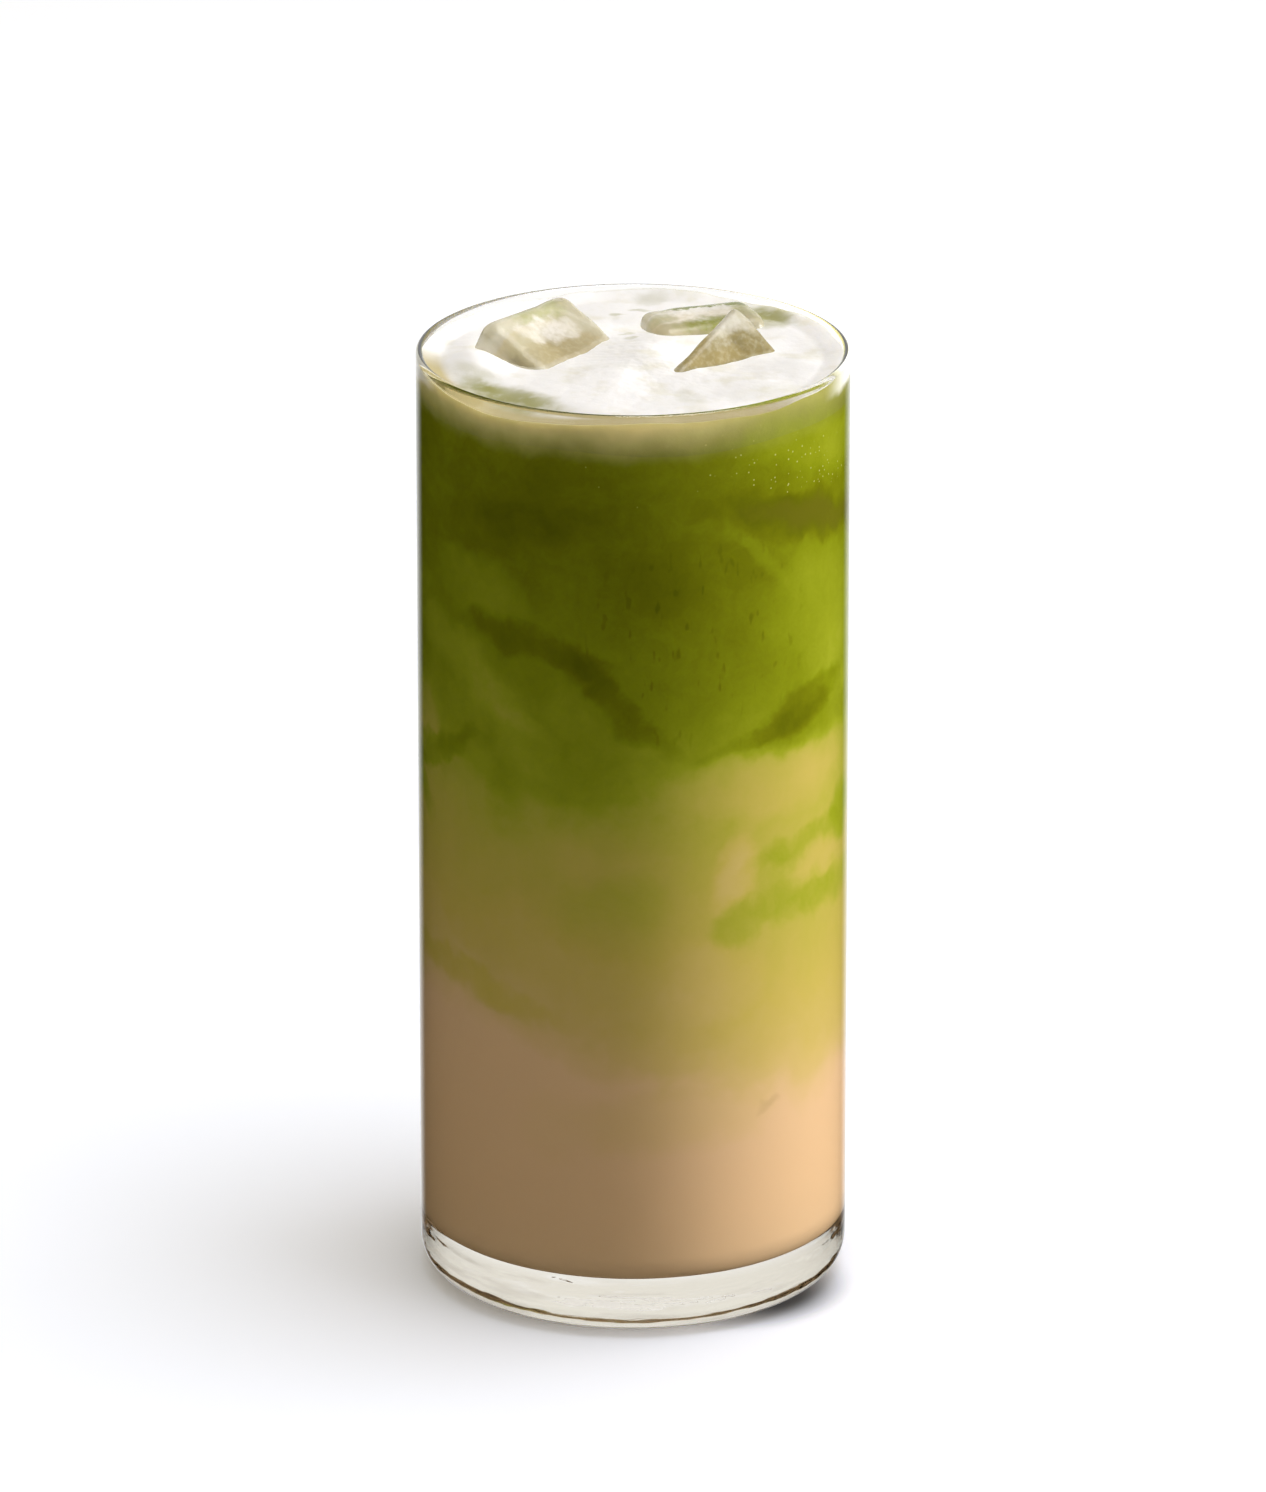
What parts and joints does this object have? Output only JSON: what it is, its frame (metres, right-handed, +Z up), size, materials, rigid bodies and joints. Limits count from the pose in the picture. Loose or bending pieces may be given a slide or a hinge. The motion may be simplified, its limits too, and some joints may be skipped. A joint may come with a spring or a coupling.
{
  "type": "iced matcha latte",
  "caption": "Iced matcha latte in a tall straight glass: milk below, swirled green tea above, a cap of foam, and ice cubes standing out of it.",
  "frame": {"origin": "centre of the flat underside of the glass", "axes": "+Z up along the axis of the glass, +X to the right of the view that shows the swirls, +Y away from that view"},
  "size_m": [0.07, 0.07, 0.1618],
  "materials": {
    "glass": "clear, polished",
    "milk": "warm beige milk, opaque liquid",
    "blend": "milk and matcha swirled together, opaque liquid",
    "matcha": "green matcha, opaque liquid",
    "foam": "fine white milk foam",
    "ice": "clear melting ice with frosty veils inside"
  },
  "bodies": {
    "root": {"glass": "glass", "milk_layer": "milk", "blend_layer": "blend", "matcha_layer": "matcha", "milk_foam": "foam", "ice_left": "ice", "ice_right": "ice", "ice_back": "ice"}
  },
  "joints": []
}
